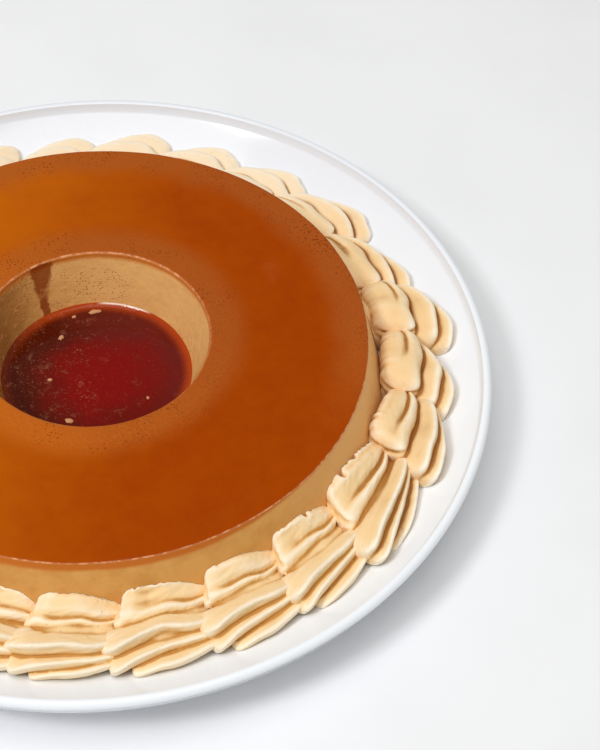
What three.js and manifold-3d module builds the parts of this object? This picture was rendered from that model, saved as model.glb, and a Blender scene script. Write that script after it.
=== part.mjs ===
// A leche flan on its serving plate: a ring of baked custard with a caramel-soaked top, a pool of
// caramel syrup in its middle, and a border of piped cream shells round its foot.
// Millimetres, +Z up. The origin is on the table under the middle of the plate.
// +X points to the diner's right and -Y towards the diner.

import * as THREE from "three";
import { mergeVertices } from "three/addons/utils/BufferGeometryUtils.js";
import Module from "manifold-3d";

// ---------------------------------------------------------------- driving dimensions

const GAP = 0.3; // clearance between two pieces that lie against each other
const SIDES = 72; // facets round every turned piece

// Coupe plate: a flat well that curves up to a rounded lip, standing on a foot ring.
const PLATE_RADIUS = 150;
const PLATE_HEIGHT = 27;
const WELL_RADIUS = 112;
const WELL_HEIGHT = 9; // the well's surface above the table
const WELL_THICKNESS = 4.6;
const LIP_ROUND = 1.9; // radius of the lip's edge, half the wall there
const COUPE_BEND = 1.9; // exponent of the curve from the well up to the lip
const COUPE_STEPS = 5;
const LIP_STEPS = 4;
const FOOT_RADIUS = 91;
const FOOT_WIDTH = 6;
const FOOT_TAPER = 1.2;

// Flan: a truncated cone with a funnel-shaped hole, as it leaves a ring mould.
const FLAN_TOP = 39;
const FLAN_TOP_RADIUS = 102.6;
const FLAN_DRAFT = 15; // degrees that the outer wall leans out on its way down
const HOLE_TOP_RADIUS = 43.8;
const HOLE_DRAFT = 19.5; // degrees that the hole narrows on its way down
const CARAMEL_DEPTH = 3.5; // how deep the caramel has soaked in
const EDGE_ROUND = 1.2;
const EDGE_STEPS = 2;
const SYRUP_LEVEL = 17;

// Cream border: open-star shells piped anticlockwise, each head laid over the tail before it.
const SHELL_COUNT = 24;
const FIRST_SHELL = -106; // where the first head starts, in degrees from +X
// How far round each shell reaches, in degrees; the shells after these share what is left.
const SHELL_SPANS = [15, 15.5, 14.5, 14.5, 18, 14.5, 15, 13.5, 15.5, 15, 14, 14, 15, 15];
const BORDER_RADIUS = 119.5; // to the crest of the border
const BORDER_DRIFT = 6; // the border wanders this far off the flan at its right
const DRIFT_MIDDLE = -10;
const DRIFT_SPREAD = 33;
const SHELL_WIDTH = 30.2;
const SHELL_HEIGHT = 20;
const FRONT_RADIUS = 1.5; // how much further out, wider and taller the border is in front
const FRONT_WIDTH = 1.8;
const FRONT_HEIGHT = 2.6;
const WIDTH_SPREAD = 0.03; // unevenness from shell to shell, as a share
const HEIGHT_SPREAD = 0.05;
const TWIST_SPREAD = 0.3;
// Where the sections stand along a shell: 0 is the front of its head and 1 that of the next.
const SHELL_STATIONS = [0, 0.05, 0.13, 0.25, 0.4, 0.55, 0.7, 0.84, 0.97, 1.12];
const HEAD_LENGTH = 0.24; // share of the shell that is the rounded head
const FRONT_FACE_WIDTH = 0.62; // the head's blunt front against its full size
const FRONT_FACE_HEIGHT = 0.3;
const TAIL_NARROWING = 0.4;
const RIDGE_ANGLES = [12, 48, 84, 120, 154]; // the ridges left by the nozzle, from the outside over the top
const SECTION_FULLNESS = 0.82; // 1 is a half ellipse, less is squarer
const GROOVE_DEPTH = 0.22; // share of the shell's size
const HEAD_GROOVE = 0.14; // extra depth where the head's ridges fan apart
const RIDGE_TWIST = 16; // degrees that the ridges roll inwards from head to tail
const TWIST_PIVOT = 0.35; // share along the shell where the ridges are at their own angles
const HEAD_SLANT = 2.2; // degrees that a head starts early at its outside and late at its inside
const FOOT_SHARE = 0.85; // width of the shell's foot against its widest part
const SEAT_GAP = 0.4; // clearance of the shells above the curved plate
const CUT_DEPTH = 3; // how far below the plate's surface a cut reaches

// ---------------------------------------------------------------- materials

const finish = (color, roughness) => new THREE.MeshStandardMaterial({ color, roughness, metalness: 0 });
const porcelain = finish(0xf4f5f7, 0.15);
const custard = finish(0xc48a45, 0.45);
const caramel = finish(0xa84a08, 0.2);
const syrup = finish(0x6a0a0c, 0.05);
const cream = finish(0xf3d3a2, 0.6);

// ---------------------------------------------------------------- shared profiles

const radians = THREE.MathUtils.degToRad;
const point = (radius, height) => new THREE.Vector2(radius, height);

const wallRadius = (z) => FLAN_TOP_RADIUS + (FLAN_TOP - z) * Math.tan(radians(FLAN_DRAFT));
const holeRadius = (z) => HOLE_TOP_RADIUS - (FLAN_TOP - z) * Math.tan(radians(HOLE_DRAFT));

// The plate's upper surface, and its steepness, at a distance from the middle.
const COUPE_RUN = PLATE_RADIUS - LIP_ROUND - WELL_RADIUS;
const COUPE_RISE = PLATE_HEIGHT - LIP_ROUND - WELL_HEIGHT;
const coupeShare = (radius) => Math.max(0, radius - WELL_RADIUS) / COUPE_RUN;
const plateSurface = (radius) => WELL_HEIGHT + COUPE_RISE * coupeShare(radius) ** COUPE_BEND;
const plateSlope = (radius) =>
  Math.atan((COUPE_BEND * COUPE_RISE * coupeShare(radius) ** (COUPE_BEND - 1)) / COUPE_RUN);

// Turns a closed profile, given anticlockwise in the half plane right of the axis, round +Z.
function turn(profile) {
  return new THREE.LatheGeometry([...profile, profile[0]], SIDES).rotateX(Math.PI / 2);
}

// Points on an arc, both ends included, in degrees.
function arc(centre, radius, from, to, steps) {
  return Array.from({ length: steps + 1 }, (_, i) => {
    const angle = radians(from + ((to - from) * i) / steps);
    return point(centre.x + radius * Math.cos(angle), centre.y + radius * Math.sin(angle));
  });
}

// ---------------------------------------------------------------- plate

function plateGeometry() {
  const lip = point(PLATE_RADIUS - LIP_ROUND, PLATE_HEIGHT - LIP_ROUND);
  const steepest = plateSlope(lip.x);
  const innerEnd = lip.x - LIP_ROUND * Math.sin(steepest);
  const upper = [];
  const lower = [];
  for (let i = 0; i < COUPE_STEPS; i++) {
    const share = i / COUPE_STEPS;
    const radius = WELL_RADIUS + share * (innerEnd - WELL_RADIUS);
    const wall = WELL_THICKNESS + share * (2 * LIP_ROUND - WELL_THICKNESS);
    const slope = plateSlope(radius);
    upper.push(point(radius, plateSurface(radius)));
    lower.push(point(radius + wall * Math.sin(slope), plateSurface(radius) - wall * Math.cos(slope)));
  }
  const over = THREE.MathUtils.radToDeg(steepest) + 90;
  const underside = WELL_HEIGHT - WELL_THICKNESS;
  const footOuter = FOOT_RADIUS + FOOT_WIDTH / 2;
  const footInner = FOOT_RADIUS - FOOT_WIDTH / 2;
  return turn([
    point(0, underside),
    point(footInner, underside),
    point(footInner + FOOT_TAPER, 0),
    point(footOuter - FOOT_TAPER, 0),
    point(footOuter, underside),
    ...lower,
    ...arc(lip, LIP_ROUND, over - 180, over, LIP_STEPS),
    ...upper.reverse(),
    point(0, WELL_HEIGHT),
  ]);
}

// ---------------------------------------------------------------- flan

// A ring of the flan between two heights; its upper corners are rounded where it meets the air.
function flanRing(bottom, top, rounded) {
  const foot = [point(holeRadius(bottom), bottom), point(wallRadius(bottom), bottom)];
  if (!rounded) return turn([...foot, point(wallRadius(top), top), point(holeRadius(top), top)]);
  const height = top - EDGE_ROUND;
  const outer = point(wallRadius(height) - EDGE_ROUND, height);
  const inner = point(holeRadius(height) + EDGE_ROUND, height);
  return turn([
    ...foot,
    ...arc(outer, EDGE_ROUND, 0, 90, EDGE_STEPS),
    ...arc(inner, EDGE_ROUND, 90, 180, EDGE_STEPS),
  ]);
}

function syrupGeometry() {
  const bottom = WELL_HEIGHT + GAP;
  return turn([
    point(0, bottom),
    point(holeRadius(bottom) - GAP, bottom),
    point(holeRadius(SYRUP_LEVEL) - GAP, SYRUP_LEVEL),
    point(0, SYRUP_LEVEL),
  ]);
}

// ---------------------------------------------------------------- cream border

// A repeatable unevenness from -1 to 1 for a shell and a trait.
const uneven = (shell, trait) => Math.sin(12.9898 * shell + 78.233 * trait);

function borderLayout() {
  const stated = SHELL_SPANS.reduce((sum, span) => sum + span, 0);
  const shared = (360 - stated) / (SHELL_COUNT - SHELL_SPANS.length);
  const shells = [];
  let start = FIRST_SHELL;
  for (let i = 0; i < SHELL_COUNT; i++) {
    const span = SHELL_SPANS[i] ?? shared;
    const frontness = -Math.sin(radians(start + span / 2));
    shells.push({
      start,
      span,
      width: (SHELL_WIDTH + FRONT_WIDTH * frontness) * (1 + WIDTH_SPREAD * uneven(i, 1)),
      height: (SHELL_HEIGHT + FRONT_HEIGHT * frontness) * (1 + HEIGHT_SPREAD * uneven(i, 2)),
      twist: RIDGE_TWIST * (1 + TWIST_SPREAD * uneven(i, 3)),
    });
    start += span;
  }
  return shells;
}

// Distance of the border's crest from the middle: further out in front, and adrift on the right.
function borderRadius(degrees) {
  const fromDrift = THREE.MathUtils.euclideanModulo(degrees - DRIFT_MIDDLE + 180, 360) - 180;
  const drift = BORDER_DRIFT * Math.exp(-((fromDrift / DRIFT_SPREAD) ** 2));
  return BORDER_RADIUS - FRONT_RADIUS * Math.sin(radians(degrees)) + drift;
}

// The shell's size at a share of its length: a round head, then a long taper under the next head.
function shellSize(share) {
  const rounding = share < HEAD_LENGTH ? Math.sqrt(1 - (1 - share / HEAD_LENGTH) ** 2) : 1;
  const taper = 1 - TAIL_NARROWING * Math.max(0, share - HEAD_LENGTH);
  return {
    width: (FRONT_FACE_WIDTH + (1 - FRONT_FACE_WIDTH) * rounding) * taper,
    height: (FRONT_FACE_HEIGHT + (1 - FRONT_FACE_HEIGHT) * rounding) * taper,
  };
}

// A point of the section as shares of the half width and the height.
function sectionPoint(degrees, reach) {
  const across = Math.cos(radians(degrees));
  const up = Math.sin(radians(degrees));
  return [
    reach * Math.sign(across) * Math.abs(across) ** SECTION_FULLNESS,
    reach * Math.max(0, up) ** SECTION_FULLNESS,
  ];
}

// The section at one station: ridges over the top, with grooves between them, then the flat foot.
// As a cutter the shell is a little larger, has no grooves, and reaches down into the plate.
function shellSection(shell, share, cutter) {
  const grow = cutter ? GAP : 0;
  const lead = THREE.MathUtils.radToDeg(grow / BORDER_RADIUS);
  const degrees = shell.start - lead + share * (shell.span + lead);
  const size = shellSize(share);
  const halfWidth = (size.width * shell.width) / 2 + grow;
  const height = size.height * shell.height + grow;
  const roll = shell.twist * (share - TWIST_PIVOT);
  const ridges = RIDGE_ANGLES.map((angle) => angle + roll * Math.sin(radians(angle)));
  const groove = 1 - GROOVE_DEPTH - HEAD_GROOVE * Math.max(0, 1 - share / HEAD_LENGTH);
  const outline = ridges.flatMap((ridge, i) => {
    if (cutter || i === ridges.length - 1) return [sectionPoint(ridge, 1)];
    return [sectionPoint(ridge, 1), sectionPoint((ridge + ridges[i + 1]) / 2, groove)];
  });
  const foot = cutter ? -CUT_DEPTH / height : 0;
  outline.push([-FOOT_SHARE, foot], [0, foot], [FOOT_SHARE, foot]);
  return outline.map(([across, up]) => {
    const natural = borderRadius(degrees) + across * halfWidth;
    const z = plateSurface(natural) + SEAT_GAP + up * height;
    const radius = cutter ? natural : Math.max(natural, wallRadius(z) + SEAT_GAP);
    const around = radians(degrees - HEAD_SLANT * across * (1 - share));
    return new THREE.Vector3(radius * Math.cos(around), radius * Math.sin(around), z);
  });
}

// A closed skin over the sections, with a fan at each end.
function shellSolid(manifold, shell, cutter) {
  const rings = SHELL_STATIONS.map((share) => shellSection(shell, share, cutter));
  const count = rings[0].length;
  const vertices = rings.flat();
  const faces = [];
  for (let i = 0; i + 1 < rings.length; i++) {
    for (let j = 0; j < count; j++) {
      const a = i * count + j;
      const b = i * count + ((j + 1) % count);
      faces.push([a, a + count, b + count], [a, b + count, b]);
    }
  }
  for (const [ring, base] of [[rings[0], 0], [rings.at(-1), (rings.length - 1) * count]]) {
    const middle = ring.reduce((sum, v) => sum.add(v), new THREE.Vector3()).divideScalar(count);
    vertices.push(middle);
    const tip = vertices.length - 1;
    for (let j = 0; j < count; j++) {
      const edge = [base + j, base + ((j + 1) % count)];
      faces.push(base === 0 ? [edge[0], edge[1], tip] : [edge[1], edge[0], tip]);
    }
  }
  const mesh = new manifold.Mesh({
    numProp: 3,
    vertProperties: new Float32Array(vertices.flatMap((v) => v.toArray())),
    triVerts: new Uint32Array(faces.flat()),
  });
  return new manifold.Manifold(mesh);
}

function geometryOf(solid) {
  const mesh = solid.getMesh();
  const geometry = new THREE.BufferGeometry();
  geometry.setAttribute("position", new THREE.BufferAttribute(mesh.vertProperties, 3));
  geometry.setIndex(new THREE.BufferAttribute(mesh.triVerts, 1));
  const merged = mergeVertices(geometry, 1e-3);
  merged.computeVertexNormals();
  return merged;
}

// Every shell, each tail cut back to leave room for the head laid over it.
function borderGeometries(manifold) {
  const shells = borderLayout();
  return shells.map((shell, i) => {
    const next = shells[(i + 1) % SHELL_COUNT];
    const body = shellSolid(manifold, shell, false).subtract(shellSolid(manifold, next, true));
    const largest = body.decompose().sort((a, b) => b.volume() - a.volume())[0];
    return geometryOf(largest);
  });
}

// ---------------------------------------------------------------- assembly

const manifold = await Module();
manifold.setup();

const group = new THREE.Group();

function add(name, geometry, material) {
  const mesh = new THREE.Mesh(geometry, material);
  mesh.name = name;
  group.add(mesh);
}

const caramelBottom = FLAN_TOP - CARAMEL_DEPTH;
add("plate", plateGeometry(), porcelain);
add("custard_ring", flanRing(WELL_HEIGHT + GAP, caramelBottom - GAP, false), custard);
add("caramel_layer", flanRing(caramelBottom, FLAN_TOP, true), caramel);
add("syrup_pool", syrupGeometry(), syrup);
borderGeometries(manifold).forEach((geometry, i) => {
  add(`cream_shell_${String(i + 1).padStart(2, "0")}`, geometry, cream);
});

export default group;
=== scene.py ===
"""A ring-shaped leche flan on a white coupe plate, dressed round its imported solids.

Custard with a caramel-soaked top, dark syrup in its hole and a border of piped cream shells.
Metres, +Z up; the origin is on the table under the middle of the plate.
"""

from math import cos, degrees, pi, radians, sin, tan, tau

import bpy
import numpy as np
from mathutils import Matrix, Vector, noise


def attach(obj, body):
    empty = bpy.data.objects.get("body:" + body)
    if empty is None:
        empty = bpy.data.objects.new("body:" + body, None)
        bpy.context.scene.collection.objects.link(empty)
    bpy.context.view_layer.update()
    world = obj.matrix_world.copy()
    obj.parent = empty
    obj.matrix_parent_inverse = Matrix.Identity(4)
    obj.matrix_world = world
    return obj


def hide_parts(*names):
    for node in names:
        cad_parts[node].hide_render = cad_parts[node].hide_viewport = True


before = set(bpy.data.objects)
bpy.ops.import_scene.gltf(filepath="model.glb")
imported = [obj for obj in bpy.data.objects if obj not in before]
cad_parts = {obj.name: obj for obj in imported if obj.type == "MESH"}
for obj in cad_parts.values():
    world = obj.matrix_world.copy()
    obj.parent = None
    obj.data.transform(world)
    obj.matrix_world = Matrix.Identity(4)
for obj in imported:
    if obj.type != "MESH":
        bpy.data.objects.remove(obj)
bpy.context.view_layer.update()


# ------------------------------------------------------------------ camera
# A long lens over the diner's shoulder. It looks down on the right-hand half of the plate.

CAMERA_PLACE = (0, -0.4308, 0.5106)
CAMERA_TURN = (40.857, -1.540, -8.590)
CAMERA_LENS = 81.6
CAMERA_SENSOR = 36
CAMERA_NEAR = 0.01

bpy.ops.object.camera_add(location=CAMERA_PLACE, rotation=[radians(a) for a in CAMERA_TURN])
camera = bpy.context.object
camera.data.lens = CAMERA_LENS
camera.data.sensor_fit = "VERTICAL"
camera.data.sensor_height = CAMERA_SENSOR
camera.data.sensor_width = CAMERA_SENSOR
camera.data.clip_start = CAMERA_NEAR
bpy.context.scene.camera = camera


# ------------------------------------------------------------------ table
# A pale matt table top, faintly clouded, in a bright room. A softbox hangs over it and a smaller
# one stands at the front left.

FLOOR_SIZE = 8
FLOOR_PALE = (243, 243, 246)
FLOOR_CLOUD = (240, 240, 243)
FLOOR_CLOUD_SCALE = 14
FLOOR_CLOUDED = (0.4, 0.7)
ROOM_LIGHT = 0.38
ROOM_TINT = (1, 1, 0.92, 1)
SOFTBOX_TINT = (0.985, 0.99, 1)
OVERHEAD = {"place": (-0.15, -0.25, 1.9), "size": 1.3, "power": 15.5}
KEY_AZIMUTH = -148
KEY_ELEVATION = 54.5
KEY_DISTANCE = 2
KEY_SIZE = 0.42
KEY_POWER = 14


def paint(red, green, blue):
    """A colour given as it looks on screen, from 0 to 255, as the linear values nodes take."""
    shares = [c / 255 for c in (red, green, blue)]
    return (*[s / 12.92 if s <= 0.04045 else ((s + 0.055) / 1.055) ** 2.4 for s in shares], 1)


class Value:
    """A socket in a material that arithmetic on it adds Math nodes to."""

    def __init__(self, finish, socket):
        self.finish = finish
        self.socket = socket

    def reckon(self, operation, *operands):
        """One Math node, with its operands in order."""
        values = dict(enumerate(operands))
        return self.finish.node("ShaderNodeMath", {"operation": operation}, values)

    def __add__(self, other):
        return self.reckon("ADD", self, other)

    def __radd__(self, other):
        return self.reckon("ADD", other, self)

    def __sub__(self, other):
        return self.reckon("SUBTRACT", self, other)

    def __rsub__(self, other):
        return self.reckon("SUBTRACT", other, self)

    def __mul__(self, other):
        return self.reckon("MULTIPLY", self, other)

    def __rmul__(self, other):
        return self.reckon("MULTIPLY", other, self)

    def __truediv__(self, other):
        return self.reckon("DIVIDE", self, other)

    def __pow__(self, other):
        return self.reckon("POWER", self, other)


class Finish:
    """A material being made: a Principled shader and the nodes that feed it."""

    def __init__(self, name, **constants):
        self.material = bpy.data.materials.new(name)
        self.material.use_nodes = True
        self.tree = self.material.node_tree
        self.shader = self.tree.nodes["Principled BSDF"]
        self.place = self.node("ShaderNodeTexCoord", output="Object")
        for words, value in constants.items():
            label = words.replace("_", " ").title().replace("Ior", "IOR")
            self.shader.inputs[label].default_value = value

    def node(self, kind, settings={}, sockets={}, output=0):
        """Adds a node: its settings first, a ramp's stops among them, then its values and links."""
        made = self.tree.nodes.new(kind)
        for name, setting in settings.items():
            if name == "stops":
                while len(made.color_ramp.elements) < len(setting):
                    made.color_ramp.elements.new(1)
                for element, (place, color) in zip(made.color_ramp.elements, setting):
                    element.position, element.color = place, color
            else:
                setattr(made, name, setting)
        for name, value in sockets.items():
            self.feed(made.inputs[name], value)
        return Value(self, made.outputs[output])

    def feed(self, socket, value):
        if isinstance(value, Value):
            self.tree.links.new(value.socket, socket)
        else:
            socket.default_value = value

    def set(self, name, value):
        self.feed(self.shader.inputs[name], value)

    def cloud(self, scale, detail=2, roughness=0.5):
        """Soft noise from 0 to 1, with its grain given as the number of lumps in a metre."""
        sockets = {"Vector": self.place, "Scale": scale, "Detail": detail, "Roughness": roughness}
        return self.node("ShaderNodeTexNoise", {}, sockets)

    def between(self, value, low, high):
        """0 where the value is under low, 1 where it is over high, and a smooth step between."""
        sockets = {"Value": value, "From Min": low, "From Max": high}
        return self.node("ShaderNodeMapRange", {"interpolation_type": "SMOOTHSTEP"}, sockets)

    def mixed(self, share, first, second):
        """The first colour where the share is 0, the second where it is 1."""
        sockets = {0: share, 6: first, 7: second}
        return self.node("ShaderNodeMix", {"data_type": "RGBA"}, sockets, output=2)

    def relief(self, height, depth):
        """Fine relief, with the depth in metres of a height of 1."""
        self.set("Normal", self.node("ShaderNodeBump", {}, {"Height": height, "Distance": depth}))


def dress(piece, finish):
    piece.data.materials.clear()
    piece.data.materials.append(finish.material)


bpy.ops.object.select_all(action="DESELECT")
bpy.ops.mesh.primitive_plane_add(size=FLOOR_SIZE)
table = bpy.context.object
table.name = "table_top"
table_finish = Finish("matt_table", roughness=0.7, specular_ior_level=0.2)
clouding = table_finish.between(table_finish.cloud(FLOOR_CLOUD_SCALE, detail=4), *FLOOR_CLOUDED)
floor_colour = table_finish.mixed(clouding, paint(*FLOOR_PALE), paint(*FLOOR_CLOUD))
table_finish.set("Base Color", floor_colour)
dress(table, table_finish)

room = bpy.data.worlds.new("room")
room.use_nodes = True
room.node_tree.nodes["Background"].inputs["Color"].default_value = ROOM_TINT
room.node_tree.nodes["Background"].inputs["Strength"].default_value = ROOM_LIGHT
bpy.context.scene.world = room
bpy.context.scene.view_settings.view_transform = "Standard"


def softbox(name, place, size, power):
    """A square light at a place, aimed at the plate."""
    aim = (-Vector(place)).to_track_quat("-Z", "Y").to_euler()
    bpy.ops.object.light_add(type="AREA", location=place, rotation=aim)
    light = bpy.context.object
    light.name = name
    light.data.shape = "SQUARE"
    light.data.size = size
    light.data.energy = power
    light.data.color = SOFTBOX_TINT


softbox("overhead_softbox", **OVERHEAD)
key_reach = KEY_DISTANCE * cos(radians(KEY_ELEVATION))
key_place = (
    key_reach * cos(radians(KEY_AZIMUTH)),
    key_reach * sin(radians(KEY_AZIMUTH)),
    KEY_DISTANCE * sin(radians(KEY_ELEVATION)),
)
softbox("front_softbox", key_place, KEY_SIZE, KEY_POWER)


# ------------------------------------------------------------------ plate
# A white porcelain coupe plate: a flat well that curves up to a rounded lip, on a foot ring.
# It is turned in one piece and glazed all over but under the foot.

MM = 0.001
TURNED_STEPS = 288
MERGE_WITHIN = 0.01
SMOOTH_ANGLE = 40
PLATE_RADIUS = 150
PLATE_HEIGHT = 27
WELL_RADIUS = 112
WELL_HEIGHT = 9
WELL_THICKNESS = 4.6
LIP_ROUND = 1.9
COUPE_BEND = 1.9
COUPE_STEPS = 40
LIP_STEPS = 14
FOOT_RADIUS = 91
FOOT_WIDTH = 6
FOOT_TAPER = 1.2
FOOT_STEPS = 5
GLAZE = (234, 237, 245)
GLAZE_NEAR_PAINTED_LIGHT = (246, 249, 254)
GLAZE_SHADE = (237, 240, 248)
GLAZE_PAINTED_LIGHT_FADE = (-0.06, 0.12)
GLAZE_RIPPLE = 0.00006

COUPE_RUN = PLATE_RADIUS - LIP_ROUND - WELL_RADIUS
COUPE_RISE = PLATE_HEIGHT - LIP_ROUND - WELL_HEIGHT


def plate_surface(radius):
    """Height of the plate's upper surface at a distance from the middle, in millimetres."""
    return WELL_HEIGHT + COUPE_RISE * (np.maximum(0, radius - WELL_RADIUS) / COUPE_RUN) ** COUPE_BEND


def arc(centre, size, start, end, steps):
    """Points on an arc in the half plane of a turned profile, both ends included."""
    angles = [radians(start + (end - start) * i / steps) for i in range(steps + 1)]
    return [(centre[0] + size * cos(a), centre[1] + size * sin(a)) for a in angles]


def turned(name, profile, steps=TURNED_STEPS):
    """A closed profile of (radius, height) points in millimetres, turned round the upright axis."""
    bpy.ops.object.select_all(action="DESELECT")
    bpy.ops.mesh.primitive_circle_add(vertices=len(profile))
    piece = bpy.context.object
    piece.name = piece.data.name = name
    for vertex, (radius, height) in zip(piece.data.vertices, profile):
        vertex.co = (radius * MM, 0, height * MM)
    bpy.ops.object.mode_set(mode="EDIT")
    bpy.ops.mesh.select_all(action="SELECT")
    bpy.ops.mesh.spin(steps=steps, angle=tau, center=(0, 0, 0), axis=(0, 0, 1))
    bpy.ops.mesh.select_all(action="SELECT")
    bpy.ops.mesh.remove_doubles(threshold=MERGE_WITHIN * MM)
    bpy.ops.mesh.delete_loose(use_faces=False)
    bpy.ops.mesh.select_all(action="SELECT")
    bpy.ops.mesh.normals_make_consistent(inside=False)
    bpy.ops.object.mode_set(mode="OBJECT")
    bpy.ops.object.shade_smooth_by_angle(angle=radians(SMOOTH_ANGLE))
    return piece


def plate_profile():
    """The plate's closed outline, from the middle of its underside round to the well."""
    lip = (PLATE_RADIUS - LIP_ROUND, PLATE_HEIGHT - LIP_ROUND)
    steepness = COUPE_BEND * COUPE_RISE / COUPE_RUN
    upper, lower = [], []
    for i in range(COUPE_STEPS):
        share = i / COUPE_STEPS
        slope = np.arctan(steepness * share ** (COUPE_BEND - 1))
        radius = WELL_RADIUS + share * (lip[0] - LIP_ROUND * sin(slope) - WELL_RADIUS)
        wall = WELL_THICKNESS + share * (2 * LIP_ROUND - WELL_THICKNESS)
        upper.append((radius, plate_surface(radius)))
        lower.append((radius + wall * sin(slope), plate_surface(radius) - wall * cos(slope)))
    over = degrees(np.arctan(steepness)) + 90
    underside = WELL_HEIGHT - WELL_THICKNESS
    foot_outer = FOOT_RADIUS + FOOT_WIDTH / 2
    foot_inner = FOOT_RADIUS - FOOT_WIDTH / 2
    return [
        (0, underside),
        (foot_inner, underside),
        *arc((foot_inner + FOOT_TAPER, FOOT_TAPER), FOOT_TAPER, 180, 270, FOOT_STEPS),
        *arc((foot_outer - FOOT_TAPER, FOOT_TAPER), FOOT_TAPER, 270, 360, FOOT_STEPS),
        (foot_outer, underside),
        *lower,
        *arc(lip, LIP_ROUND, over - 180, over, LIP_STEPS),
        *upper[::-1],
        (0, WELL_HEIGHT),
    ]


plate = turned("glazed_plate", plate_profile())
glaze = Finish("white_glaze", specular_ior_level=0.3, coat_weight=0.1)
glaze_clouds = glaze.cloud(30, detail=3)
# Painted light: the glaze is painted lighter at the front and darker towards the back, as light and
# shade on the plate.
y = glaze.node("ShaderNodeSeparateXYZ", {}, {0: glaze.place}, output=1)
far = glaze.between(y, *GLAZE_PAINTED_LIGHT_FADE)
glaze_with_painted_light = glaze.mixed(far, paint(*GLAZE_NEAR_PAINTED_LIGHT), paint(*GLAZE))
glaze.set("Base Color", glaze.mixed(0.3 * glaze_clouds, glaze_with_painted_light, paint(*GLAZE_SHADE)))
glaze.set("Roughness", 0.1 + 0.06 * glaze.cloud(90))
glaze.relief(glaze.cloud(60, detail=1), GLAZE_RIPPLE)
dress(plate, glaze)
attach(plate, "root")
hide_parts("plate")


# ------------------------------------------------------------------ flan
# Baked custard turned out of a ring mould, a truncated cone with a funnel-shaped hole. Its top has
# soaked up caramel, which fades into the pale custard over the first few millimetres of its sides.

FLAN_STEPS = 360
FLAN_TOP = 39
FLAN_TOP_RADIUS = 102.6
FLAN_DRAFT = 15
HOLE_TOP_RADIUS = 43.8
HOLE_DRAFT = 19.5
CARAMEL_DEPTH = 3.5
SYRUP_LEVEL = 17
EDGE_ROUND = 0.7
HOLE_EDGE_ROUND = 1.3
WALL_STEPS = 24
TOP_STEPS = 40
CUSTARD = (226, 170, 98)
CUSTARD_DEEP = (214, 154, 84)
CUSTARD_PAINTED_LIGHT = (242, 190, 126)
CUSTARD_SHADE = (124, 66, 24)
CARAMEL = (162, 65, 0)
CARAMEL_RICH = (155, 57, 0)
CARAMEL_LIT = (220, 122, 16)
SHEEN_LIT = (196, 104, 30)
SHEEN_DIM = (167, 85, 32)
CARAMEL_EDGE = (204, 116, 46)
CARAMEL_EDGE_PAINTED_LIGHT = (236, 152, 84)
EDGE_GLINT = (236, 168, 122)
DRIP = (138, 50, 0)
PORE = (112, 42, 2)
SOAKED_TO = 36.6
SOAK_FADE = 34.6
DRIP_AZIMUTH = 114.5
DRIP_WIDTH = 4.4
DRIP_DRIFT = 2.4
FOOD_FLOOR = WELL_HEIGHT + 0.05
CORNER_STEPS = 8
WAVE_DEPTH = 0.22
WAVE_RISE = 0.1
WAVE_SIZE = 0.028
RIPPLE_SIZE = 0.009
RISE_SIZE = 0.02
PORE_SCALE = 880
SPECKLE_SCALE = 900
BEAD_SCALE = 420
FLAN_RELIEF = 0.00015

# How far under the top, in millimetres, the edge glint starts and ends and the top's colour starts.
GLINT_START = (0.95, 0.5)
GLINT_END = (0.25, 0.05)
TOP_START = (EDGE_ROUND, 0.2)

# Where the flan's colours change, in metres: to the right, to the back, outwards or upwards.
LIT_TO_UNLIT = (-0.1, 0.05)
INNER_SHEEN_BAND = (0.046, 0.066)
OUTER_SHEEN_BAND = (0.08, 0.1)
OUTER_SHEEN_FADE = (-0.07, 0)
HOLE_TO_WALL = (0.05, 0.06)
RIGHT_PAINTED_LIGHT = (0.05, 0.1)
HOLE_BACK_PAINTED_LIGHT = (0, 0.04)
HOLE_LEFT_SHADE = (0.014, 0.04)
SOAK_THINS = (0.02, 0.08)
WET_GLINT_RIGHT = (0.05, 0.08)
WET_GLINT_FRONT = (-0.035, -0.01)
WET_GLINT_HEIGHT = (0.022, 0.03)
DRIP_BACK = (0, 0.005)
DRIP_LIP = (0.044, 0.046)
GLINT_BACK = (0.005, 0.035)


def wall_radius(height):
    """The flan's outer wall, in millimetres from the axis at a height."""
    return FLAN_TOP_RADIUS + (FLAN_TOP - height) * tan(radians(FLAN_DRAFT))


def hole_radius(height):
    """The wall of the hole, in millimetres from the axis at a height."""
    return HOLE_TOP_RADIUS - (FLAN_TOP - height) * tan(radians(HOLE_DRAFT))


def flan_ring(bottom, top, rounded):
    """The profile of a slice of the flan, finely divided, with rounded upper edges if it is the top."""
    inside = hole_radius(bottom)
    width = wall_radius(bottom) - inside
    foot = [(inside + width * i / TOP_STEPS, bottom) for i in range(TOP_STEPS)]
    outer_top = top - EDGE_ROUND if rounded else top
    inner_top = top - HOLE_EDGE_ROUND if rounded else top
    steps = max(3, round(WALL_STEPS * (top - bottom) / FLAN_TOP))
    outer = [(wall_radius(z), z) for z in np.linspace(bottom, outer_top, steps)]
    inner = [(hole_radius(z), z) for z in np.linspace(inner_top, bottom, steps)][:-1]
    if rounded:
        outer_corner = (wall_radius(outer_top) - EDGE_ROUND, outer_top)
        inner_corner = (hole_radius(inner_top) + HOLE_EDGE_ROUND, inner_top)
        outer = outer[:-1] + arc(outer_corner, EDGE_ROUND, 0, 90, CORNER_STEPS)
        inner = arc(inner_corner, HOLE_EDGE_ROUND, 90, 180, CORNER_STEPS) + inner[1:]
    crown = np.linspace(outer[-1][0], inner[0][0], TOP_STEPS)[1:-1]
    return foot + outer + [(radius, top) for radius in crown] + inner


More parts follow.
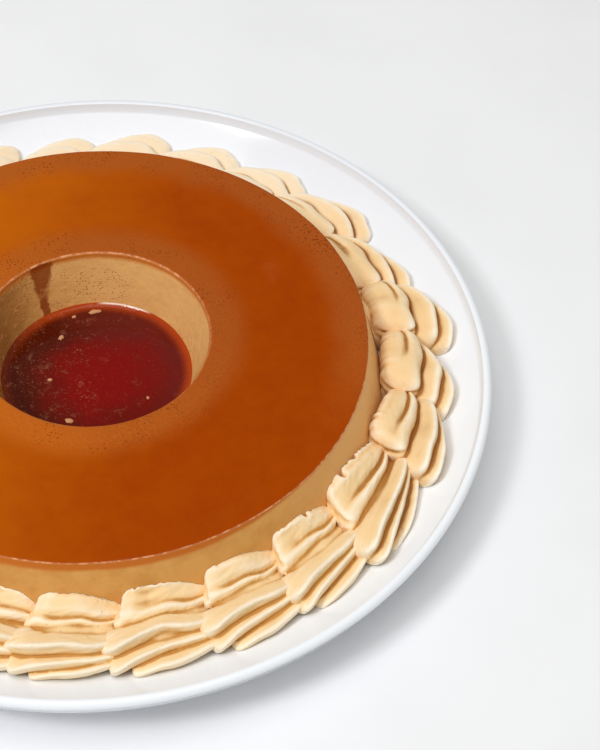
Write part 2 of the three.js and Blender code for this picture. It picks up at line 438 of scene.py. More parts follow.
def settle(piece):
    """Gives the turned flan the faint waves of a soft thing that has stood on its own."""
    for vertex in piece.data.vertices:
        free = vertex.co.z / (FLAN_TOP * MM)
        lump = noise.noise(vertex.co / WAVE_SIZE) + 0.4 * noise.noise(vertex.co / RIPPLE_SIZE)
        outwards = vertex.co.xy.normalized() * WAVE_DEPTH * MM * lump * free
        upwards = WAVE_RISE * MM * noise.noise(vertex.co / RISE_SIZE) * free
        vertex.co += Vector((*outwards, upwards))


def flan_finish(name):
    """One finish for both slices, so that no seam shows: its colours follow height and radius."""
    flan = Finish(name, specular_ior_level=0.03)
    x, y, z = (flan.node("ShaderNodeSeparateXYZ", {}, {0: flan.place}, output=i) for i in range(3))

    def under_top(deep, shallow):
        """0 below the deeper of two depths under the top, 1 above the shallower."""
        return flan.between(z, (FLAN_TOP - deep) * MM, (FLAN_TOP - shallow) * MM)

    radius = (x * x + y * y) ** 0.5
    waver = flan.cloud(45, detail=3) - 0.5
    grain = flan.cloud(160, detail=4, roughness=0.6)
    pores = flan.node("ShaderNodeTexVoronoi", {}, {"Vector": flan.place, "Scale": PORE_SCALE})
    sparse = flan.between(flan.cloud(60, detail=3), 0.38, 0.68)
    speckle = flan.cloud(SPECKLE_SCALE, detail=3)

    # Painted light: the top is painted warmest on the left, where the light falls. Two bands, along the
    # hole and along the edge, where the band fades towards the front, are painted duller with a painted
    # sheen, which is itself painted lighter towards the lit front left.
    lit = 1 - flan.between(x - 0.3 * y + 0.03 * waver, *LIT_TO_UNLIT)
    inner_sheen = 1 - flan.between(radius + 0.008 * waver, *INNER_SHEEN_BAND)
    outer_sheen = flan.between(radius + 0.01 * waver, *OUTER_SHEEN_BAND)
    outer_sheen = outer_sheen * (0.2 + 0.8 * flan.between(y, *OUTER_SHEEN_FADE))
    sheen_bands = flan.between(inner_sheen + outer_sheen + 0.3 * waver, 0.1, 1)
    rich = flan.between(grain + waver, 0.2, 0.9)
    caramel = flan.mixed(rich, paint(*CARAMEL), paint(*CARAMEL_RICH))
    caramel = flan.mixed(0.52 * lit, caramel, paint(*CARAMEL_LIT))
    sheen = flan.mixed(flan.between(lit - 8 * y, 0, 1), paint(*SHEEN_DIM), paint(*SHEEN_LIT))
    caramel = flan.mixed(sheen_bands * (0.2 + 1.1 * speckle), caramel, sheen)
    pits = (1 - flan.between(pores, 0.1, 0.34)) * sparse * (0.2 + sheen_bands)
    caramel = flan.mixed(0.7 * pits, caramel, paint(*PORE))

    # The custard is palest on the right and in the back of the hole, as painted light, and darker on
    # the hole's left, as painted shade.
    in_hole = 1 - flan.between(radius, *HOLE_TO_WALL)
    deep = flan.between(grain + waver, 0.25, 0.8)
    custard = flan.mixed(deep, paint(*CUSTARD), paint(*CUSTARD_DEEP))
    painted_light_wall = (1 - in_hole) * flan.between(x, *RIGHT_PAINTED_LIGHT)
    painted_light_hole = 0.45 * in_hole * flan.between(x + y, *HOLE_BACK_PAINTED_LIGHT)
    custard = flan.mixed(painted_light_wall + painted_light_hole, custard, paint(*CUSTARD_PAINTED_LIGHT))
    shaded = 0.7 * in_hole * flan.between(0 - x, *HOLE_LEFT_SHADE)
    custard = flan.mixed(shaded, custard, paint(*CUSTARD_SHADE))

    # The soaked band is deepest in front and thins out to the right and in the hole.
    thinner = 1.5 * flan.between(x, *SOAK_THINS) + 0.5 * in_hole
    low_soak = SOAK_FADE * MM + 0.0017 * thinner
    soaked = flan.between(z + 0.0014 * waver - low_soak, 0, (SOAKED_TO - SOAK_FADE) * MM)
    # Painted light: the soaked edge is painted lighter on the right.
    edge = flan.mixed(flan.between(x, *RIGHT_PAINTED_LIGHT), paint(*CARAMEL_EDGE), paint(*CARAMEL_EDGE_PAINTED_LIGHT))
    side = flan.mixed(soaked, custard, edge)
    side = flan.mixed(0.6 * pits * (1 - soaked), side, paint(*CARAMEL_EDGE))
    # Painted highlights: wet patches in the hole and low on the front right of the wall are painted as
    # glints.
    front_right_glints = flan.between(x, *WET_GLINT_RIGHT) * (1 - flan.between(y, *WET_GLINT_FRONT))
    front_right_glints = front_right_glints * flan.between(z, *WET_GLINT_HEIGHT)
    glint_patches = flan.between(flan.cloud(380, detail=3), 0.56, 0.72)
    wet_glints = (in_hole + 1.4 * front_right_glints) * glint_patches * (1 - soaked)
    side = flan.mixed(0.45 * wet_glints, side, paint(*EDGE_GLINT))

    # A drip has run down the far side of the hole to the syrup, narrowing as it went.
    height = flan.between(z, SYRUP_LEVEL * MM, FLAN_TOP * MM)
    from_drip = x * sin(radians(DRIP_AZIMUTH)) - y * cos(radians(DRIP_AZIMUTH))
    from_drip = from_drip + DRIP_DRIFT * MM * (1 - height)
    from_drip = from_drip / (DRIP_WIDTH * MM * (0.42 + 0.58 * height))
    ragged = flan.cloud(150, detail=4, roughness=0.7) - 0.5
    drip = 1 - flan.between(from_drip * from_drip + 1.4 * waver + 3.2 * ragged, 0.3, 1.3)
    drip = drip * flan.between(y, *DRIP_BACK) * (1 - flan.between(radius, *DRIP_LIP))
    side = flan.mixed(0.85 * drip, side, paint(*DRIP))

    # Wet glints run along both upper edges, broken into beads. The hole's are brightest at the back.
    faint = 0.65 * in_hole * (1 - flan.between(y, *GLINT_BACK))
    beads = flan.between(flan.cloud(BEAD_SCALE), 0.42, 0.62)
    at_edge = under_top(*GLINT_START) * (1 - under_top(*GLINT_END))
    glint = at_edge * (0.3 + 0.6 * beads) * (1 - faint)
    surface = flan.mixed(under_top(*TOP_START), side, caramel)
    flan.set("Base Color", flan.mixed(glint, surface, paint(*EDGE_GLINT)))
    flan.set("Roughness", 0.36 - 0.08 * soaked + 0.1 * grain)
    flan.relief(grain - 1.5 * pits + 2.5 * in_hole * flan.cloud(240, detail=3), FLAN_RELIEF)
    return flan


caramel_bottom = FLAN_TOP - CARAMEL_DEPTH
custard_profile = flan_ring(FOOD_FLOOR, caramel_bottom, False)
caramel_profile = flan_ring(caramel_bottom, FLAN_TOP, True)
for name, profile, node, slot in (
    ("custard_ring_baked", custard_profile, "custard_ring", "custard"),
    ("caramel_layer_soaked", caramel_profile, "caramel_layer", "caramel"),
):
    piece = turned(name, profile, FLAN_STEPS)
    settle(piece)
    dress(piece, flan_finish(slot + "_baked"))
    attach(piece, "root")
    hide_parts(node)


# ------------------------------------------------------------------ syrup
# Thin dark caramel syrup that has run into the hole and stands there. It creeps up the custard in a
# small meniscus, and crumbs of custard float in it.

MENISCUS_HEIGHT = 1.1
MENISCUS_REACH = 2.6
MENISCUS_CURVE = 2.4
MENISCUS_STEPS = 16
SURFACE_RINGS = 20
SYRUP_DEEP_AND_SHADED = (76, 18, 4)
SYRUP_HEART = (124, 8, 4)
SYRUP_REFLECTION = (104, 30, 24)
SYRUP_RIM = (178, 66, 12)
MENISCUS_GLINT = (255, 236, 222)
GLINT_AZIMUTH = 68
GLINT_HALF = 19
GLINT_SOFTNESS = 0.3
SPECK = (200, 140, 100)
CRUMB = (204, 152, 108)
CRUMB_DETAIL = 5
CRUMB_FLATNESS = 0.6
FLECKS = ((1100, 0.5), (520, 0.4))

# Where the syrup's colours change, in metres from the axis or to the right.
HEART_EDGE = (0.006, 0.034)
REFLECTION_EDGE = (-0.005, 0.03)
RIM_BAND = (0.0315, 0.0372)
RIM_BRIGHT = (-0.02, 0.02)
GLINT_BAND = (0.0357, 0.0361)

# Each crumb: right and back of the axis, half length and half width in millimetres, and heading.
CRUMBS = [
    (1.4, 32.4, 2.5, 1, 8), (-12.6, 20.2, 1.3, 0.9, 40), (-18, -0.9, 0.9, 0.7, 0),
    (-12.1, -22, 1.6, 1, 150), (-6.9, 30.7, 0.9, 0.6, 20), (18.1, -14.5, 0.7, 0.5, 90),
]


def syrup_profile():
    """The pool's closed outline, from its floor up the custard and along the surface to the axis."""
    edge = hole_radius(SYRUP_LEVEL + MENISCUS_HEIGHT)
    surface = []
    for i in range(MENISCUS_STEPS + 1):
        share = i / MENISCUS_STEPS
        creep = MENISCUS_HEIGHT * (1 - share) ** MENISCUS_CURVE
        surface.append((edge - MENISCUS_REACH * share, SYRUP_LEVEL + creep))
    inside = [(radius, SYRUP_LEVEL) for radius in np.linspace(surface[-1][0], 0, SURFACE_RINGS)[1:]]
    return [(0, FOOD_FLOOR), (hole_radius(FOOD_FLOOR), FOOD_FLOOR), *surface, *inside]


syrup = turned("syrup_standing", syrup_profile())
gloss = Finish("dark_syrup", roughness=0.03, ior=1.45, specular_ior_level=0.15)
x, y = (gloss.node("ShaderNodeSeparateXYZ", {}, {0: gloss.place}, output=i) for i in range(2))
syrup_radius = (x * x + y * y) ** 0.5
swirl = gloss.cloud(60, detail=4, roughness=0.6)
drift = swirl - 0.5
# Painted shade and the syrup's own colour: the pool is darkest at its back and left, where the custard
# wall shades it, round a brighter red heart.
heart = 1 - gloss.between(syrup_radius + 0.025 * drift - 0.15 * x + 0.2 * y, *HEART_EDGE)
# Painted reflection: the pool's right and back are painted a dull pinkish red, the custard wall
# reflected in it.
painted_reflection = gloss.between(x + 0.6 * y + 0.03 * drift, *REFLECTION_EDGE)
body = gloss.mixed(0.7 * painted_reflection, paint(*SYRUP_DEEP_AND_SHADED), paint(*SYRUP_REFLECTION))
body = gloss.mixed(heart, body, paint(*SYRUP_HEART))
rim = gloss.between(syrup_radius + 0.002 * drift, *RIM_BAND)
rim = rim * (0.25 + 0.75 * gloss.between(x + y, *RIM_BRIGHT))
body = gloss.mixed(rim, body, paint(*SYRUP_RIM))
streaks = gloss.between(gloss.cloud(230, detail=5, roughness=0.75), 0.54, 0.7)
streaks = 0.22 * streaks * gloss.between(swirl - 6 * x, 0.35, 0.7)
body = gloss.mixed(streaks, body, paint(*SPECK))
facing = (x * cos(radians(GLINT_AZIMUTH)) + y * sin(radians(GLINT_AZIMUTH))) / syrup_radius
glint_end = cos(radians(GLINT_HALF))
glint = gloss.between(facing, glint_end, 1 - GLINT_SOFTNESS * (1 - glint_end))
glint = glint * gloss.between(syrup_radius + 0.0006 * drift, *GLINT_BAND)
gathered = gloss.between(gloss.cloud(110, detail=3) - 7 * x, 0.42, 0.75)
for scale, share in FLECKS:
    flecks = gloss.node("ShaderNodeTexVoronoi", {}, {"Vector": gloss.place, "Scale": scale})
    flecks = (1 - gloss.between(flecks + 0.3 * swirl, 0.15, 0.4)) * (0.15 + 0.85 * gathered)
    body = gloss.mixed(share * flecks, body, paint(*SPECK))
gloss.set("Base Color", gloss.mixed(0.85 * glint, body, paint(*MENISCUS_GLINT)))
gloss.relief(gloss.cloud(80, detail=1), 0.00005)
dress(syrup, gloss)
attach(syrup, "root")
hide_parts("syrup_pool")


def crumb(number, x, y, half_length, half_width, heading):
    """A soft crumb of custard, half sunk in the syrup."""
    bpy.ops.object.select_all(action="DESELECT")
    bpy.ops.mesh.primitive_ico_sphere_add(subdivisions=CRUMB_DETAIL)
    piece = bpy.context.object
    piece.name = piece.data.name = f"custard_crumb_{number}"
    for vertex in piece.data.vertices:
        spot = vertex.co + Vector((7 * number, 0, 0))
        lump = 1 + 0.35 * noise.noise(1.3 * spot) + 0.12 * noise.noise(4 * spot)
        along, across = vertex.co.x * half_length * lump, vertex.co.y * half_width * lump
        east = x + along * cos(radians(heading)) - across * sin(radians(heading))
        north = y + along * sin(radians(heading)) + across * cos(radians(heading))
        height = SYRUP_LEVEL + CRUMB_FLATNESS * vertex.co.z * half_width * lump
        vertex.co = Vector((east, north, height)) * MM
    bpy.ops.object.shade_smooth()
    return piece


soft = Finish("soaked_crumb", roughness=0.4, specular_ior_level=0.15)
soft.set("Base Color", soft.mixed(soft.cloud(600, detail=3), paint(*CRUMB), paint(*SPECK)))
soft.relief(soft.cloud(900), 0.0001)
for number, sizes in enumerate(CRUMBS, 1):
    piece = crumb(number, *sizes)
    dress(piece, soft)
    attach(piece, "root")


# ------------------------------------------------------------------ cream border
# Caramel-coloured cream piped through a large open star nozzle. Each shell starts as a full head
# that fans out over the last tail, and is drawn anticlockwise into a narrowing tail of its own.
# The nozzle's teeth leave ridges along it, which lie like the steps of a terrace.

SHELL_COUNT = 24
FIRST_SHELL = -106
SHELL_SPANS = [15, 15.5, 14.5, 14.5, 18, 14.5, 15, 13.5, 17, 16, 14.5, 14, 14, 14.5]
BORDER_RADIUS = 119.5
BORDER_DRIFT = 6
DRIFT_MIDDLE = -10
DRIFT_SPREAD = 33
FRONT_RADIUS = 1.5
FRONT_WIDTH = 0.06
FRONT_HEIGHT = 0.13
WIDTH_SPREAD = 0.03
HEIGHT_SPREAD = 0.05
REACH = {5: -1, 6: -3.8, 8: -4.2, 9: 0.8, 10: 0.8, 11: 1.2, 12: 2.5, 13: 1, 14: 3}
TAIL_SHIFT = {6: -3, 8: 2.5}
SWAY = {0: 3, 1: -1.6, 2: 0.3, 4: 0.3, 23: 1}
FAN = {3: 2, 4: 8, 5: 3}
HEAD_SLANT = 0.36
FRONT_SLANT = 0.22
HEAD_CAP = 0.11
ROUND_HEAD_CAP = 0.3
TAIL_CAP = 0.25
CAP_BLUNTNESS = 2.4
RIDGE_SEGMENTS = 64
RIDGE_RINGS = 56
SIDE_CREASE = (1.3, 0.1, 0, 0.25)
FRONT_CREASE = (2, 0.17, 0.35, -0.3)
HEAD_LIP = 1.1
LIP_RISE = 11.8
LIP_DEPTH = 0.9
TOOTH = 2.1
TOOTH_LENGTH = 4.6
SKIN = 0.46
GROOVE_REACH = 26
STREAK_DEPTH = 0.12
FRONT_STREAK_DEPTH = 0.1
STREAK_LENGTH = 7
STREAK_WIDTH = 1.7
STREAK_SLANT = 0.3
SWAY_SPREAD = 1.2
FLANK_SWAY = 0.6
CROWN_REACH = 0.5
FAN_SWELL = 0.025
ALONG_UNEVEN = 0.02
STATION_UNEVEN = 0.25
RIDGE_UNEVEN = 0.5
STATION_SWELL = 0.04
RIDGE_SWELL = 0.05
TRAITS_A_RIDGE = 7
UNDERSIDE_SQUARE = 0.9
PRESSED_FROM = 0.12
PRESSED_GROWTH = 1.75
TORN = {"crown": 1, "inner": 0.6}
TORN_ELSEWHERE = 0.15
EASE = 0.15
GROOVE_DEPTH = 0.9
HAIR = 0.1
CREAM_CREST_LIT = (251, 234, 206)
CREAM_CREST_LIT_SIDE = (255, 244, 224)
CREAM_FAR_LIT = (246, 233, 214)
CREAM = (244, 210, 155)
CREAM_SIDE = (242, 206, 152)
CREAM_GROOVE_SHADE = (196, 138, 64)
CREAM_GROOVE_SHADE_SIDE = (168, 108, 46)
SIDE_BLEND = (0.07, 0.11)
FAR_BLEND = (0.05, 0.1)
SIDE_PAINTED_SHADE = 0.17
CREST_TO_SLOPE = (-0.6, 0.12)
SLOPE_TO_GROOVE = (0.05, 0.5)
BUBBLE_SCALE = 520
CREAM_RELIEF = 0.00012

# How square a ridge's inner and outer edges are (the less the squarer), then stations along it, from
# head to tail: share of the shell, mm outwards, mm up, half width, thickness, outward tilt in degrees.
SIDE_RIDGES = {
    "core": (1, 1, [
        (0, -2, 7, 6, 7, 0), (0.12, -2, 9, 7, 9, 0),
        (0.35, -2, 10, 7, 10, 0), (0.6, -2, 9, 7, 9, 0),
        (0.85, -3, 8, 6, 8, 0), (1.08, -3, 6, 5, 6, 0)]),
    "inner": (0.8, 0.8, [
        (-0.1, -14.6, 8.5, 3.6, 8, 10), (0.1, -14.8, 12.2, 4, 12, 10),
        (0.35, -14.6, 14.3, 4.2, 12, 10), (0.62, -13.8, 13.9, 4.2, 11, 10),
        (0.88, -12.6, 11.8, 3.9, 9, 8), (1.12, -11.2, 8.8, 3.4, 8, 8)]),
    "crown": (0.9, 0.7, [
        (-0.13, -8.2, 14.6, 6.6, 10, -4), (0.04, -8.1, 16.8, 7.7, 12, -2),
        (0.27, -7.5, 17.9, 8.1, 13, -2), (0.54, -6.8, 17.5, 8.1, 12, -2),
        (0.84, -6.2, 15.8, 7.4, 10, -3), (1.14, -6.4, 11.8, 6, 8, -5)]),
    "shoulder": (0.9, 0.6, [
        (-0.15, -0.6, 8, 4.2, 8, -6), (0, 1.6, 10.6, 4.9, 9, 4),
        (0.2, 3.6, 12, 4.8, 9, 7), (0.45, 4.1, 12.3, 4.5, 9, 7),
        (0.75, 2.2, 11, 4.2, 8, 6), (1.12, -3.2, 7.8, 3.5, 7, 2)]),
    "flank": (0.9, 0.6, [
        (-0.12, 8.2, 4, 3.8, 6, -20), (0, 10, 5.6, 4.3, 6.5, -12),
        (0.2, 11.2, 6.7, 4.4, 6.5, -9), (0.45, 9.6, 6.8, 4, 6.5, -9),
        (0.75, 5.3, 6.3, 3.6, 6, -12), (1.05, -0.2, 5.5, 2.8, 5, -14)]),
    "hem": (0.7, 0.7, [
        (0.2, 7, 1, 2, 2, -50), (0.3, 7, 1.2, 2, 2, -50),
        (0.45, 7, 1.5, 2, 2, -50), (0.6, 6, 1.5, 2, 2, -50),
        (0.8, 4, 1.5, 2, 2, -50), (0.9, 2, 1, 2, 2, -50)]),
}
FRONT_RIDGES = {
    "core": (1, 1, [
        (0, -3.4, 8.6, 5, 8.6, 0), (0.12, -3.4, 10.4, 7, 10.4, 0),
        (0.35, -3.4, 11.4, 8, 11.4, 0), (0.6, -3.4, 11, 8, 11, 0),
        (0.85, -3.6, 9.8, 7, 9.8, 0), (1.08, -5, 8, 6, 8, 0)]),
    "inner": (0.8, 0.8, [
        (0.05, -13.5, 11, 3.6, 9, 0), (0.15, -13.5, 12.2, 3.8, 12, 0),
        (0.35, -13.5, 12.6, 4, 12, 0), (0.6, -13, 12, 4, 11, 0),
        (0.85, -13, 11, 4, 10, 0), (1.08, -12, 9.5, 3, 9, 0)]),
    "crown": (0.3, 0.6, [
        (-0.12, -9.2, 13, 6.2, 11, -16), (0.02, -9.2, 14.4, 6.9, 12, -16),
        (0.25, -9.4, 14.8, 6.7, 13, -16), (0.55, -9.8, 14.4, 6.3, 12, -15),
        (0.85, -10.2, 13.2, 5.8, 10, -14), (1.14, -10.8, 11, 5, 9, -10)]),
    "shoulder": (0.9, 0.24, [
        (-0.2, 1, 9, 4.6, 8, -12), (-0.04, 1.6, 11.8, 5.2, 8, -4),
        (0.16, 0.5, 12.6, 4.6, 7, 8), (0.45, -1.1, 12.6, 4, 6.5, 11),
        (0.8, -0.5, 11.8, 3.7, 6, 8), (1.16, -0.8, 9.6, 2.8, 5, 4)]),
    "flank": (0.9, 0.26, [
        (-0.12, 7.2, 4.8, 4.2, 5, -30), (0, 7.7, 6.6, 4.4, 5, -16),
        (0.18, 6, 8, 4.2, 5, 0), (0.5, 3.3, 8.6, 3.9, 5, 7),
        (0.85, 3, 8.3, 3.5, 5, 4), (1.14, 2.2, 7.2, 2.8, 4, 0)]),
    "hem": (0.9, 0.3, [
        (0.1, 9.6, 2, 3.2, 4, -36), (0.2, 9.9, 3.2, 3.6, 4.5, -22),
        (0.36, 9.8, 4.2, 3.8, 4.5, -10), (0.6, 8.8, 5, 3.7, 4.5, -6),
        (0.85, 7.6, 5.3, 3.4, 4, -6), (1.1, 5.4, 5, 2.8, 4, -8)]),
}


def uneven(shell, trait):
    """A fixed amount from -1 to 1 by which a shell differs from the others in some trait."""
    return sin(12.9898 * shell + 78.233 * trait)


def border_radius(azimuth):
    """The crest of the border, in millimetres from the axis, at an azimuth in degrees."""
    from_drift = (azimuth - DRIFT_MIDDLE + 180) % 360 - 180
    drift = BORDER_DRIFT * np.exp(-((from_drift / DRIFT_SPREAD) ** 2))
    return BORDER_RADIUS - FRONT_RADIUS * np.sin(np.radians(azimuth)) + drift


def signed_power(value, exponent):
    """A power that keeps the sign, which squares off a round section."""
    return np.sign(value) * np.abs(value) ** exponent


def along_stations(stations, share):
    """The stations joined by a smooth line, read at shares of its length."""
    ends = 2 * stations[0] - stations[1], 2 * stations[-1] - stations[-2]
    line = np.vstack([ends[0], stations, ends[1]])
    place = np.clip(share, 0, 0.99999) * (len(stations) - 1)
    k = place.astype(int)
    u = (place - k)[:, None]
    a, b, c, d = line[k], line[k + 1], line[k + 2], line[k + 3]
    bend = 2 * a - 5 * b + 4 * c - d
    ease = 3 * b - a - 3 * c + d
    return 0.5 * (2 * b + (c - a) * u + bend * u**2 + ease * u**3)


def ridge_stations(index, number, name, pressed):
    """One ridge's squareness and stations, between a side shell's and a pressed front shell's."""
    side, front = SIDE_RIDGES[name], FRONT_RIDGES[name]
    squares = [(1 - pressed) * side[i] + pressed * front[i] for i in (0, 1)]
    stations = (1 - pressed) * np.array(side[2], float) + pressed * np.array(front[2], float)
    if name in ("shoulder", "flank"):
        sway = SWAY.get(index, SWAY_SPREAD * pressed * uneven(index, 80))
        sway = sway * (1 if name == "shoulder" else FLANK_SWAY)
        stations[:, 1] += sway * np.sin(pi * np.clip(stations[:, 0], 0, 1))
        stations[:, 1] += TAIL_SHIFT.get(index, 0) * np.clip(stations[:, 0] / 0.6 - 0.6, 0, 1)
    if name != "inner":
        stations[:, 1] += REACH.get(index, 0) * (CROWN_REACH if name == "crown" else 1)
    if name == "crown":
        stations[:, 3] *= 1 + FAN_SWELL * FAN.get(index, 0)
    for k, station in enumerate(stations):
        spot = TRAITS_A_RIDGE * number + k
        station[0] += ALONG_UNEVEN * uneven(index, 10 + spot)
        for column in (1, 2):
            here = STATION_UNEVEN * uneven(index, 10 + 10 * column + spot)
            station[column] += here + RIDGE_UNEVEN * uneven(index, 40 + 10 * column + number)
        swell = STATION_SWELL * uneven(index, 40 + spot)
        station[3] *= 1 + swell + RIDGE_SWELL * uneven(index, 70 + number)
    return squares, stations


def drawn_ridge(squares, stations, length, head_cap, torn, crease, seed):
    """A ball drawn out into one ridge. Its inner edge is torn where the cream was pressed to the flan.

    Its top may be folded: a crease's depth and width, the share of a second, and where they start.
    """
    bpy.ops.object.select_all(action="DESELECT")
    bpy.ops.mesh.primitive_uv_sphere_add(segments=RIDGE_SEGMENTS, ring_count=RIDGE_RINGS)
    ridge = bpy.context.object
    ball = np.empty(3 * len(ridge.data.vertices))
    ridge.data.vertices.foreach_get("co", ball)
    ball = ball.reshape(-1, 3)
    along = np.arccos(np.clip(ball[:, 2], -1, 1)) / pi
    around = np.arctan2(ball[:, 1], ball[:, 0])
    share, out, rise, half_width, thickness, tilt = along_stations(stations, along).T
    head = np.clip(1 - along / head_cap, 0, 1)
    tail = np.clip(1 - (1 - along) / TAIL_CAP, 0, 1)
    full = ((1 - head**CAP_BLUNTNESS) * (1 - tail**2)) ** (1 / CAP_BLUNTNESS)
    tears = [(1 - 4 * abs(noise.noise((a, seed, 0))) + 0.5 * noise.noise((2.3 * a, seed, 3)))
             * (0.7 + 1.4 * noise.noise((0.3 * a, seed, 9))) for a in share * length / TOOTH_LENGTH]
    inner_edge = np.clip(-2 * np.cos(around), 0, 1)
    half_width = (half_width + torn * TOOTH * np.array(tears) * inner_edge) * full
    square = np.where(np.cos(around) > 0, squares[1], squares[0])
    square = np.where(np.sin(around) < 0, UNDERSIDE_SQUARE, square)
    across = signed_power(np.cos(around), square) * half_width
    up = (signed_power(np.sin(around), square) * full - 1) * thickness / 2
    if crease:
        depth, spread, second, start = crease
        place = 0.15 + 0.15 * sin(seed) + 0.3 * (share - 0.5)
        fold = np.exp(-(((np.cos(around) - place) / spread) ** 2))
        fold += second * np.exp(-(((np.cos(around) - place + 0.6) / spread) ** 2))
        up -= depth * fold * np.clip((share - start) / 0.6, 0, 1) * full
    tilt = np.radians(tilt)
    outwards = out + across * np.cos(tilt) - up * np.sin(tilt)
    return ridge, share * length, outwards, rise + across * np.sin(tilt) + up * np.cos(tilt)


def skinned(piece):
    """Melts overlapping ridges into one closed skin, and keeps how deep each spot lies in a groove."""
    bpy.ops.object.mode_set(mode="EDIT")
    bpy.ops.mesh.select_all(action="SELECT")
    bpy.ops.mesh.normals_make_consistent(inside=False)
    bpy.ops.object.mode_set(mode="OBJECT")
    skin = piece.modifiers.new("skin", "REMESH")
    skin.mode = "VOXEL"
    skin.voxel_size = SKIN * MM
    bpy.ops.object.modifier_apply(modifier="skin")
    mesh = piece.data
    count = len(mesh.vertices)
    points, normals = np.empty(3 * count), np.empty(3 * count)
    edges = np.empty(2 * len(mesh.edges), int)
    mesh.vertices.foreach_get("co", points)
    mesh.edges.foreach_get("vertices", edges)
    points, (first, second) = points.reshape(-1, 3), edges.reshape(-1, 2).T
    neighbours = np.bincount(edges, minlength=count)

    def eased(values):
        """The mean of each spot's neighbours."""
        sums = [
            np.bincount(first, v[second], count) + np.bincount(second, v[first], count)
            for v in values.T
        ]
        return np.stack(sums, axis=1) / neighbours[:, None]

    points = (1 - EASE) * points + EASE * eased(points)
    mesh.vertices.foreach_set("co", points.ravel())
    mesh.update()
    mesh.vertices.foreach_get("normal", normals)
    normals = normals.reshape(-1, 3)
    level = points
    for _ in range(GROOVE_REACH):
        level = eased(level)
    groove = ((level - points) * normals).sum(axis=1) / (GROOVE_DEPTH * MM)
    marks = mesh.attributes.new("groove", "FLOAT", "POINT")
    marks.data.foreach_set("value", np.clip(groove, -1, 1).astype(np.float32))
    return points, normals


def piped_shell(index, start, span):
    """One shell: its ridges, melted together, streaked, and laid on the plate and against the flan."""
    frontness = -sin(radians(start + span / 2))
    pressed = max(0, min(1, PRESSED_GROWTH * (frontness - PRESSED_FROM)))
    width = (1 + FRONT_WIDTH * frontness) * (1 + WIDTH_SPREAD * uneven(index, 1))
    height = (1 + FRONT_HEIGHT * frontness) * (1 + HEIGHT_SPREAD * uneven(index, 2))
    length = radians(span) * BORDER_RADIUS
    ridges = []
    for number, name in enumerate(FRONT_RIDGES):
        squares, stations = ridge_stations(index, number, name, pressed)
        torn = TORN.get(name, TORN_ELSEWHERE) * (0.15 + 0.85 * pressed)
        crease = None
        if name == "crown":
            crease = [(1 - pressed) * a + pressed * b for a, b in zip(SIDE_CREASE, FRONT_CREASE)]
        head_cap = HEAD_CAP + (ROUND_HEAD_CAP - HEAD_CAP) * (name == "crown") * (1 - pressed)
        seed = 9.7 * index + number
        ridge, along, out, up = drawn_ridge(squares, stations, length, head_cap, torn, crease, seed)
        from_head = np.clip(1 - along / length, 0, 1)
        along += length * FRONT_SLANT * pressed * np.clip((1 - out) / 16, 0, 1.2) * from_head**2
        along -= HEAD_SLANT * (1 - pressed) * (out + 2) * np.clip(1 - along / length, 0, 1) ** 1.5
        lip = np.exp(-(((up - LIP_RISE) / LIP_DEPTH) ** 2))
        along += HEAD_LIP * (name == "crown") * lip * np.clip(1 - 2 * along / length, 0, 1)
        out += FAN.get(index, 0) * (0.45 - along / length) * np.clip((out + 15) / 24, 0, 1.1)
        azimuth = start + along / length * span
        radius = border_radius(azimuth) + out * width
        turn = np.radians(azimuth)
        level = plate_surface(radius) + up * height
        points = np.stack([radius * np.cos(turn), radius * np.sin(turn), level], axis=1)
        ridge.data.vertices.foreach_set("co", (points * MM).ravel())
        ridges.append(ridge)
    for ridge in ridges:
        ridge.select_set(True)
    bpy.context.view_layer.objects.active = ridges[0]
    bpy.ops.object.join()
    piece = bpy.context.object
    piece.name = piece.data.name = f"piped_shell_{index + 1:02d}"
    points, normals = skinned(piece)

    # Fine streaks drawn along the cream, then the plate and the flan's wall that hold it.
    arc_length = np.arctan2(points[:, 1], points[:, 0]) * BORDER_RADIUS
    radius = np.hypot(points[:, 0], points[:, 1]) / MM
    across = (radius + STREAK_SLANT * arc_length) / STREAK_WIDTH
    grain = np.stack([arc_length / STREAK_LENGTH, across, points[:, 2] / (STREAK_WIDTH * MM)], axis=1)
    streaks = [
        noise.noise(g) + 0.5 * noise.noise((3 * g[0], 2.3 * g[1], 2.3 * g[2] + 7)) for g in grain
    ]
    depth = (STREAK_DEPTH + FRONT_STREAK_DEPTH * pressed) * MM
    points += normals * (depth * np.array(streaks))[:, None]
    radius = np.hypot(points[:, 0], points[:, 1])
    wall = (wall_radius(points[:, 2] / MM) + HAIR) * MM
    points[:, :2] *= np.maximum(1, wall / radius)[:, None]
    floor = plate_surface(np.hypot(points[:, 0], points[:, 1]) / MM) + HAIR
    points[:, 2] = np.maximum(points[:, 2], floor * MM)
    piece.data.vertices.foreach_set("co", points.ravel())
    piece.data.update()
    bpy.ops.object.shade_smooth()
    return piece


cream = Finish("piped_cream", specular_ior_level=0.3)
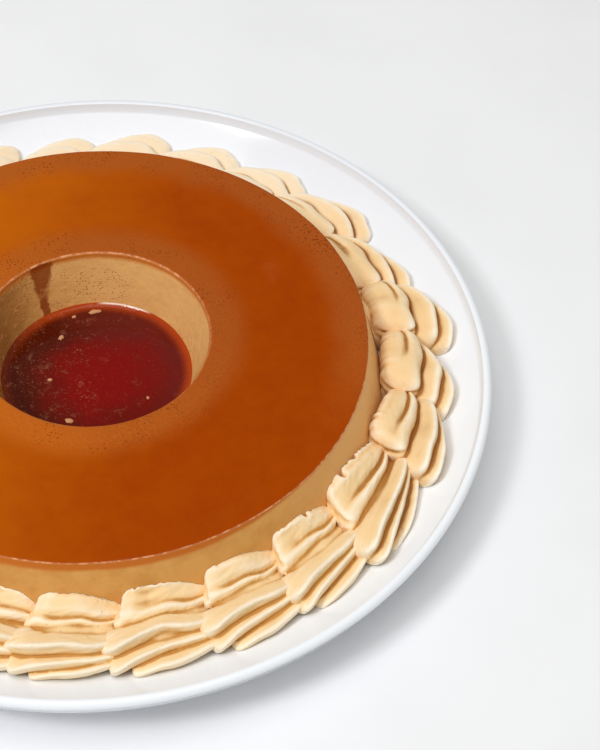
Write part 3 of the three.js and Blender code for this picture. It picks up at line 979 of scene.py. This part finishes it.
# Painted light and shade: the cream is painted paler on its crests and deeper gold in its grooves, by
# how deep each spot lies in a groove.
groove_shade_mark = cream.node("ShaderNodeAttribute", {"attribute_name": "groove"}, {}, output="Fac")
mottle = cream.cloud(150, detail=3)
groove_shade_mark = groove_shade_mark + 0.25 * (mottle - 0.5)
x, y = (cream.node("ShaderNodeSeparateXYZ", {}, {0: cream.place}, output=i) for i in range(2))
# The shells on the right are painted more shaded in their grooves and paler on their crests.
on_side = cream.between(x, *SIDE_BLEND)
groove_shade_mark = groove_shade_mark + SIDE_PAINTED_SHADE * on_side
lit_crests = cream.mixed(on_side, paint(*CREAM_CREST_LIT), paint(*CREAM_CREST_LIT_SIDE))
slopes = cream.mixed(on_side, paint(*CREAM), paint(*CREAM_SIDE))
body = cream.mixed(cream.between(groove_shade_mark, *CREST_TO_SLOPE), lit_crests, slopes)
# Painted light: the shells at the back are painted paler.
body = cream.mixed(0.5 * cream.between(y, *FAR_BLEND), body, paint(*CREAM_FAR_LIT))
shaded_grooves = cream.mixed(on_side, paint(*CREAM_GROOVE_SHADE), paint(*CREAM_GROOVE_SHADE_SIDE))
cream.set("Base Color", cream.mixed(cream.between(groove_shade_mark, *SLOPE_TO_GROOVE), body, shaded_grooves))
bubbles = cream.node("ShaderNodeTexVoronoi", {}, {"Vector": cream.place, "Scale": BUBBLE_SCALE})
bubbles = (1 - cream.between(bubbles, 0.06, 0.22)) * cream.between(cream.cloud(120), 0.52, 0.7)
cream.set("Roughness", 0.45 + 0.2 * mottle)
cream.relief(cream.cloud(600, detail=4) - 2 * bubbles, CREAM_RELIEF)

shared_span = (360 - sum(SHELL_SPANS)) / (SHELL_COUNT - len(SHELL_SPANS))
shell_start = FIRST_SHELL
for index in range(SHELL_COUNT):
    shell_span = SHELL_SPANS[index] if index < len(SHELL_SPANS) else shared_span
    shell = piped_shell(index, shell_start, shell_span)
    dress(shell, cream)
    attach(shell, "root")
    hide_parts(f"cream_shell_{index + 1:02d}")
    shell_start += shell_span
